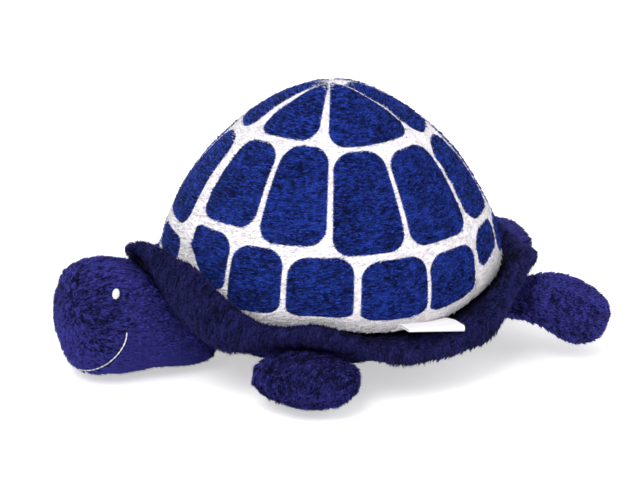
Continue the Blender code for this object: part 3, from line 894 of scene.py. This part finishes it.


# %% [markdown]
# ## Colours of the cloth
#
# The navy pile is purple where its fibres lie together and almost black where it parts, which is
# painted shade on the ground and at the fibres' roots. Each fibre's shade picks a colour between
# those two, and soft patches and fine strokes change it by place. A little sheen adds the glow of
# fibres seen from the side. The printed pile is a brighter blue or white. The ground is darker
# than most of its fibres, as painted shade, so gaps read as depth.

# %% Cloth finishes
NAVY_DARK, NAVY_LIGHT = (0.002, 0.0025, 0.014), (0.08, 0.077, 0.48)
ROYAL_DARK, ROYAL_LIGHT = (0.001, 0.003, 0.03), (0.032, 0.084, 0.62)
WHITE_DARK, WHITE_LIGHT = (0.9, 0.86, 0.89), (0.99, 0.97, 0.985)
NAVY_SHEEN, ROYAL_SHEEN = (0.3, 0.25, 1.0), (0.3, 0.5, 1.0)
# Painted shade: how much darker a fibre's root is than its tip, and how far up a fibre its shade
# is unchanged
ROOT_PAINTED_SHADE, TIP_LEVEL = 0.4, 0.6
PILE_ROUGHNESS, GROUND_ROUGHNESS = 0.6, 0.9
NAVY_GLOW, PRINT_GLOW = 0.05, 0.08  # the weight of the sheen
GROUND_PAINTED_SHADE = 0.14  # the knitted ground's mean, where 0 is dark and 1 light; kept low as painted shade under the fibres
RIM_DARK, RIM_LIGHT = (0.0008, 0.001, 0.004), (0.034, 0.036, 0.2)
# How the soft patches are stretched, how fine they are, and how strong
NAVY_GRAIN, PRINT_GRAIN = ((1, 1, 1), 300, 1.0), ((0.4, 0.4, 1), 850, 1.3)
FINE_SHARE, BROAD_SHARE, BROAD_SCALE = 0.6, 0.4, 130
KNIT_SCALE, KNIT_DEPTH = 1500, 0.0002
# Strokes where strands part, stretched along the nap of the head, the rim and the limbs
HEAD_STROKES, RIM_STROKES, LIMB_STROKES = (1, 0.35, 0.8), (1, 1, 1.3), (0.6, 0.8, 1.5)
PRINT_STROKES = (0.4, 0.4, 1.3)
STROKE_SCALE = 1300
HEAD_STROKE, RIM_STROKE, LIMB_STROKE, PRINT_STROKE = 3.0, 3.2, 2.8, 4.4


def patches(look, grain):
    """Soft light and dark, fine and broad together, both above and below 0."""
    stretch, scale, strength = grain
    fine = look.noise(look.place(stretch), scale, 3)
    broad = look.noise(look.place(), BROAD_SCALE, 2)
    return (fine * FINE_SHARE + broad * BROAD_SHARE - 0.5) * strength


def fibre_shade(look, grain, stretch, strength):
    """Each fibre's own shade, darker at its root by painted shade and lighter at its tip, with the
    patches and strokes of its place.
    """
    own = look.attribute("shade") + look.attribute("tip") * ROOT_PAINTED_SHADE - ROOT_PAINTED_SHADE * TIP_LEVEL
    strokes = (look.noise(look.place(stretch), STROKE_SCALE, 1) - 0.5) * strength
    return own + patches(look, grain) + strokes


def printed_colour(look, shade):
    """Blue where the distance to a plate's edge is below zero, and white elsewhere."""
    blue = look.mix(shade, ROYAL_DARK, ROYAL_LIGHT)
    white = look.mix(shade, WHITE_DARK, WHITE_LIGHT)
    return look.mix(look.spread(look.attribute("plate"), PRINT_FUZZ, -PRINT_FUZZ), white, blue)


def navy_pile_look(name, strokes, strength, dark=NAVY_DARK, light=NAVY_LIGHT):
    look = Finish(name, PILE_ROUGHNESS, NAVY_GLOW, NAVY_SHEEN)
    look.colour(look.mix(fibre_shade(look, NAVY_GRAIN, strokes, strength), dark, light))
    return look


def printed_pile_look():
    look = Finish("printed_pile", PILE_ROUGHNESS, PRINT_GLOW, ROYAL_SHEEN)
    shade = fibre_shade(look, PRINT_GRAIN, PRINT_STROKES, PRINT_STROKE)
    look.colour(printed_colour(look, shade))
    return look


# The ground's shade is kept low, as painted shade under the fibres, with soft patches over it
def ground_shade(look, grain):
    look.bump(look.noise(look.place(), KNIT_SCALE, 1), KNIT_DEPTH)
    return patches(look, grain) + GROUND_PAINTED_SHADE


def navy_ground_look():
    look = Finish("navy_ground", GROUND_ROUGHNESS)
    look.colour(look.mix(ground_shade(look, NAVY_GRAIN), NAVY_DARK, NAVY_LIGHT))
    return look


def printed_ground_look():
    look = Finish("printed_ground", GROUND_ROUGHNESS)
    look.colour(printed_colour(look, ground_shade(look, PRINT_GRAIN)))
    return look


head_fur = navy_pile_look("head_fur", HEAD_STROKES, HEAD_STROKE)
rim_fur = navy_pile_look("rim_fur", RIM_STROKES, RIM_STROKE, RIM_DARK, RIM_LIGHT)
limb_fur = navy_pile_look("limb_fur", LIMB_STROKES, LIMB_STROKE)
printed_pile = printed_pile_look()
navy_ground, printed_ground = navy_ground_look(), printed_ground_look()
for cover in shell_covers.values():
    cover.data.materials.append(printed_ground.material)
for cover in (rim, belly, head, *limbs.values()):
    cover.data.materials.append(navy_ground.material)

# %% [markdown]
# ## Eyes and smile
#
# Each eye is satin stitch: short threads laid side by side into an oval. The smile is a line of
# backstitches from one cheek, under the chin, to the other. The threads press the pile down, so
# no fibre is rooted under them.

# %% Embroidery
EYE_LENGTH_SHARE, EYE_ANGLE = 0.685, 42
EYE_HALF_HEIGHT, EYE_HALF_WIDTH, EYE_STITCHES = 0.0022, 0.00135, 10
EYE_TOP = Vector((0, 0.35, 1))  # the eye's upper end, before it is laid on the cheek
THREAD_RADIUS, SATIN_WIDTH = 0.00022, 1.5  # satin threads lie flat, wider than they are alone
MOUTH_MIDDLE_SHARE, MOUTH_CORNER_SHARE, MOUTH_CORNER_ANGLE = 0.92, 0.645, 3
MOUTH_CURL = 1.4  # how long the smile stays close to the cheek
MOUTH_STITCHES, MOUTH_THREAD_RADIUS = 38, 0.0003
MOUTH_OVERLAP = 0.06  # how far a stitch runs past its ends, as a share of its length
THREAD_INSET = 0.0003  # inwards from the frame's panel, and still well above the cover
WHITE_THREAD = (0.7, 0.69, 0.72), (0.9, 0.89, 0.9)
STRAND_SCALE, STRAND_DEPTH = 2600, 0.00008


def head_place(length_share, turn):
    """The point on the head at a share of its length, and the way out there."""
    low, high = 0.0, 1.0
    for _ in range(30):
        middle = (low + high) / 2
        if smooth_row(HEAD_SHARES, middle)[0] < length_share:
            low = middle
        else:
            high = middle
    point = head_point(turn, low)
    ahead = head_point(turn, low + 0.01) - point
    normal = (head_point(turn + 1, low) - point).cross(ahead).normalized()
    if normal.dot(point - Vector((0, point.y, HEAD_CENTRE_Z))) < 0:
        normal.negate()
    return point, normal


def stitch(bm, start, end, radius):
    """One thread between two points, thin at its ends where it dips into the cloth."""
    along = end - start
    turned = along.to_track_quat("Z", "X").to_matrix().to_4x4()
    size = Matrix.Diagonal((radius, radius, along.length / 2, 1))
    matrix = Matrix.Translation((start + end) / 2) @ turned @ size
    bmesh.ops.create_uvsphere(bm, u_segments=8, v_segments=6, radius=1, matrix=matrix)


def threads(name, spans, look):
    """One piece of threads, each from its start to its end with its radius."""
    bm = bmesh.new()
    for start, end, radius in spans:
        stitch(bm, start, end, radius)
    made = mesh_object(bm, name)
    made.data.materials.append(look.material)
    print(name, "has", len(made.data.polygons), "faces")
    return made


def eye_spans(side):
    point, normal = head_place(EYE_LENGTH_SHARE, EYE_ANGLE if side > 0 else 180 - EYE_ANGLE)
    point -= normal * THREAD_INSET
    up = (EYE_TOP - normal * normal.dot(EYE_TOP)).normalized()
    across = normal.cross(up)
    for i in range(EYE_STITCHES):
        share = 2 * (i + 0.5) / EYE_STITCHES - 1
        half = across * (EYE_HALF_WIDTH * math.sqrt(1 - share * share) + THREAD_RADIUS)
        middle = point + up * EYE_HALF_HEIGHT * share
        yield middle - half, middle + half, THREAD_RADIUS * SATIN_WIDTH


def mouth_spans():
    points = []
    for i in range(MOUTH_STITCHES + 1):
        side = 2 * i / MOUTH_STITCHES - 1
        curl = (3 * side**2 - 2 * abs(side) ** 3) ** MOUTH_CURL
        along = MOUTH_MIDDLE_SHARE + (MOUTH_CORNER_SHARE - MOUTH_MIDDLE_SHARE) * curl
        point, normal = head_place(along, side * (90 + MOUTH_CORNER_ANGLE) - 90)
        points.append(point - normal * THREAD_INSET)
    for start, end in zip(points, points[1:]):
        longer = (end - start) * MOUTH_OVERLAP
        yield start - longer, end + longer, MOUTH_THREAD_RADIUS


def thread_look():
    look = Finish("white_thread", roughness=0.45, sheen=0.3)
    strands = look.noise(look.place(), STRAND_SCALE, 2)
    look.colour(look.mix(strands, *WHITE_THREAD))
    look.bump(strands, STRAND_DEPTH)
    return look


white_thread = thread_look()
eyes = {
    side_name: threads(f"eye_{side_name}", eye_spans(side), white_thread)
    for side_name, side in SIDES.items()
}
mouth = threads("mouth", mouth_spans(), white_thread)


def clear_of_threads(points):
    """True where a fibre may stand."""
    free = np.ones(len(points), bool)
    for piece in (mouth, *eyes.values()):
        for thread in np.unique(points_of(piece.data).round(4), axis=0):
            free &= np.linalg.norm(points - thread, axis=1) > PILE_ROOM
    return free


# %% [markdown]
# ## Which way the nap runs
#
# On the shell the fibres are combed one way round the body, on the turtle's left towards the
# head, and a little down. On the rim they run over the roll from its root outwards. On the head
# they run back from the snout, and on the limbs out towards the tips.


# %% Directions of the nap
LEVEL = np.array((1, 1, 0))
SHELL_FALL, LIMB_FALL = np.array((0, 0, -0.25)), np.array((0, 0, -0.01))
HEAD_WAY = np.array((0.0, 1.0, -0.35))


def round_the_body(points):
    out = unit(points * LEVEL)
    return np.stack((-out[:, 1], out[:, 0], np.zeros(len(points))), axis=1)


def shell_nap(points, normals):
    return -round_the_body(points) + SHELL_FALL


def rim_nap(points, normals):
    return np.cross(round_the_body(points), normals)


def head_nap(points, normals):
    return np.broadcast_to(HEAD_WAY, points.shape)


def outward_nap(points, normals):
    return points * LEVEL + LIMB_FALL


# %% The shell's pile
shell_piles = {
    side: grow_pile(
        f"shell_pile_{side}",
        cover,
        printed_pile,
        per_mm2=4.6,
        length=0.0014,
        radius=0.00017,
        lean=0.76,
        nap=shell_nap,
        seed=31 + number,
        bleed=0.00025,
        lock_size=6,
        lock_shade=0.5,
        stretch=LONG_ROUND,
    )
    for number, (side, cover) in enumerate(shell_covers.items())
}


# %% [markdown]
# ## Tone, painted light and painted shade by place
#
# The rim has painted shade in the valley by the shell and a painted highlight at its outer edge.
# The head is lighter in tone, with painted shade on its snout and painted light on its chin, and
# a front flipper has painted shade on top, under the rim. The feet are a little lighter in tone.
# Each place adds a number to its fibres' shades. The numbers were fitted to one picture.

# %% Shades by place
# Painted shade in the rim's valley by the shell, and a painted highlight on its outer edge
RIM_VALLEY_PAINTED_SHADE, RIM_EDGE_PAINTED_LIGHT = -0.8, 0.28
# A lighter tone on the whole head, with painted shade on the snout and painted light on the chin
HEAD_SHADE, SNOUT_PAINTED_SHADE, SNOUT_Y, SNOUT_SPREAD = 0.55, -0.6, -0.106, 0.012
CHIN_PAINTED_LIGHT, CHIN_Z = 0.9, 0.03
# Painted shade on the front flippers' tops, under the rim
FLIPPER_TOP_PAINTED_SHADE, FLIPPER_TOP_Z, FLIPPER_TOP_REACH = -0.4, 0.012, 0.012
FOOT_SHADE = 0.1
RIM_PARTING = 0.001  # how far below the rim's middle its upper pile ends


def rim_is_upper(points):
    levels = [wave(h, RIM_Z, RIM_RISES) for h in headings_of(points)]
    return points[:, 2] > np.array(levels) - RIM_PARTING


# Painted shade in the rim's valley, rising to a painted highlight at its outer edge
def rim_brushed(points):
    headings = headings_of(points)
    spots = np.arange(-180, 181, 2)
    roots = np.interp(headings, spots, [seam_radius(h) for h in spots])
    edges = np.interp(headings, spots, [rim_point(h, 180).xy.length for h in spots])
    share = (np.hypot(points[:, 0], points[:, 1]) - roots) / (edges - roots)
    return RIM_VALLEY_PAINTED_SHADE + (RIM_EDGE_PAINTED_LIGHT - RIM_VALLEY_PAINTED_SHADE) * np.clip(share, 0, 1)


# A lighter tone on the head, with painted shade on its snout and painted light on its chin
def head_brushed(points):
    snout = np.exp(-(((points[:, 1] - SNOUT_Y) / SNOUT_SPREAD) ** 2))
    chin = np.clip(1 - points[:, 2] / CHIN_Z, 0, 1)
    return HEAD_SHADE + SNOUT_PAINTED_SHADE * snout + CHIN_PAINTED_LIGHT * chin


# Painted shade on a flipper's top
def flipper_brushed(points):
    return FLIPPER_TOP_PAINTED_SHADE * np.clip((points[:, 2] - FLIPPER_TOP_Z) / FLIPPER_TOP_REACH, 0, 1)


def foot_brushed(points):
    return np.full(len(points), FOOT_SHADE)


# %% The navy piles
rim_piles = [
    grow_pile(
        name,
        rim,
        rim_fur,
        per_mm2=density,
        length=0.0026,
        radius=0.00018,
        lean=0.76,
        nap=rim_nap,
        seed=seed,
        where=where,
        mess=0.08,
        lock_mess=0.1,
        lock_size=9,
        lock_shade=0.45,
        stretch=LONG_ACROSS,
        brushed=rim_brushed,
    )
    for name, density, seed, where in (
        ("rim_pile_upper", 5.5, 41, rim_is_upper),
        ("rim_pile_lower", 4, 42, lambda points: ~rim_is_upper(points)),
    )
]
belly_pile = grow_pile(
    "belly_pile",
    belly,
    limb_fur,
    per_mm2=2.4,
    length=0.0018,
    radius=0.00013,
    lean=0.8,
    nap=outward_nap,
    seed=43,
)
LIMB_FIBRES = {"length": 0.0022, "radius": 0.00016, "lean": 0.7}
head_piles = [
    grow_pile(
        f"head_pile_{side_name}",
        head,
        head_fur,
        per_mm2=8,
        nap=head_nap,
        seed=44 + side,
        where=lambda p, side=side: (p[:, 0] * side >= 0) & clear_of_threads(p),
        brushed=head_brushed,
        **LIMB_FIBRES,
    )
    for side_name, side in SIDES.items()
]
limb_piles = {
    name: grow_pile(
        name + "_pile",
        cover,
        limb_fur,
        per_mm2=7.5,
        nap=outward_nap,
        seed=50 + number,
        brushed=flipper_brushed if name.startswith("front") else foot_brushed,
        **LIMB_FIBRES,
    )
    for number, (name, cover) in enumerate(limbs.items())
}

# %% [markdown]
# ## Care label
#
# The label is a bare satin tape, folded in two and sewn into the seam between shell and rim.

# %% Label
LABEL_HINGE = Vector((0.06137, 0.01417, 0.02863))
LABEL_HEADING, LABEL_PITCH = 103, -2
LABEL_WIDTH, LABEL_LENGTH, LABEL_TAPE, LABEL_FOLD = 0.026, 0.0135, 0.0004, 0.0021
LABEL_CURL = 0.0044  # how far its fold rises at its front end
LABEL_GATHER = 0.5  # how much of the label its two layers take to part, from the seam
LABEL_LEAST = 0.5  # how open the fold is at its front end, next to its middle
LABEL_COLUMNS, LABEL_ROWS = 40, 60
SATIN_WHITE = (0.9, 0.87, 0.89), (0.97, 0.95, 0.97)
WEAVE_SCALE, WEAVE_DEPTH = 1800, 0.00004


def label_tape():
    """The tape runs out along the lower layer, round the fold and back along the upper one."""
    axes = limb_axes(LABEL_HEADING, LABEL_PITCH)
    loop = (LABEL_FOLD - LABEL_TAPE) / 2
    straight = LABEL_LENGTH - LABEL_FOLD / 2
    total = 2 * straight + math.pi * loop

    def place(across, along):
        run = along * total
        if run < straight:
            out, up = run, -loop
        elif run > total - straight:
            out, up = total - run, loop
        else:
            angle = (run - straight) / loop - math.pi / 2
            out, up = straight + loop * math.cos(angle), loop * math.sin(angle)
        gather = min(1, out / (LABEL_GATHER * straight))
        curl = LABEL_CURL * gather**2 * (1 - across)
        up = up * gather * (LABEL_LEAST + across) + curl - LABEL_TAPE
        return LABEL_HINGE + axes @ Vector((out, (across - 0.5) * LABEL_WIDTH, up))

    tape = formed("label_tape", LABEL_COLUMNS, LABEL_ROWS, place, LABEL_HINGE)
    thick = tape.modifiers.new("thickness", "SOLIDIFY")
    thick.thickness, thick.offset = LABEL_TAPE / 2, 0
    return tape


def tape_look():
    look = Finish("satin_tape", roughness=0.35, sheen=0.2)
    weave = look.noise(look.place(), WEAVE_SCALE, 1)
    look.colour(look.mix(weave, *SATIN_WHITE))
    look.bump(weave, WEAVE_DEPTH)
    return look


label = label_tape()
label.data.materials.append(tape_look().material)

# %% [markdown]
# ## Tie pieces to the frame
#
# Shell, rim and belly ride on the body, the eyes and mouth on the head, and the label on its own
# body. The head and the limbs are sewn on; their covers and piles are not tied to a body, and only
# have their places set into their meshes.

# %% Bodies
NECK_REACH, LIMB_REACH = 0.014, 0.009


def tie(piece, body):
    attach(piece, body)


def bend(piece, body, hinge, way, reach):
    hinge + way * reach
    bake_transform(piece)
    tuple(hinge)


for side in SHELL_PANELS:
    tie(shell_covers[side], "body")
    tie(shell_piles[side], "body")
    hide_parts(f"shell_panel_{side}")
for piece in (rim, belly, belly_pile, *rim_piles):
    tie(piece, "body")
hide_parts("rim_upper_panel", "rim_lower_panel", "rim_wadding")
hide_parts("belly_panel", "body_stuffing")

for piece in (head, *head_piles):
    bend(piece, "head", HEAD_HINGE, Vector((0, -1, 0)), NECK_REACH)
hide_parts("head_panel_left", "head_panel_right", "head_stuffing")
for side_name, eye in eyes.items():
    tie(eye, "head")
    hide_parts(f"eye_stitching_{side_name}")
tie(mouth, "head")
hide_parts("mouth_stitching")

LIMB_HINGES = {
    "front_flipper": (FLIPPER_HINGE, FLIPPER_AXES.col[0]),
    "rear_foot": (FOOT_HINGE, FOOT_AXES.col[0]),
}
for name, cover in limbs.items():
    kind, side_name = name.rsplit("_", 1)
    mirror = Matrix.Diagonal((SIDES[side_name], 1, 1))
    hinge, way = (mirror @ v for v in LIMB_HINGES[kind])
    for piece in (cover, limb_piles[name]):
        bend(piece, name, hinge, way, LIMB_REACH)
    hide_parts(f"{name}_upper_panel", f"{name}_lower_panel", f"{name}_stuffing")

tie(label, "label")
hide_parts("care_label")
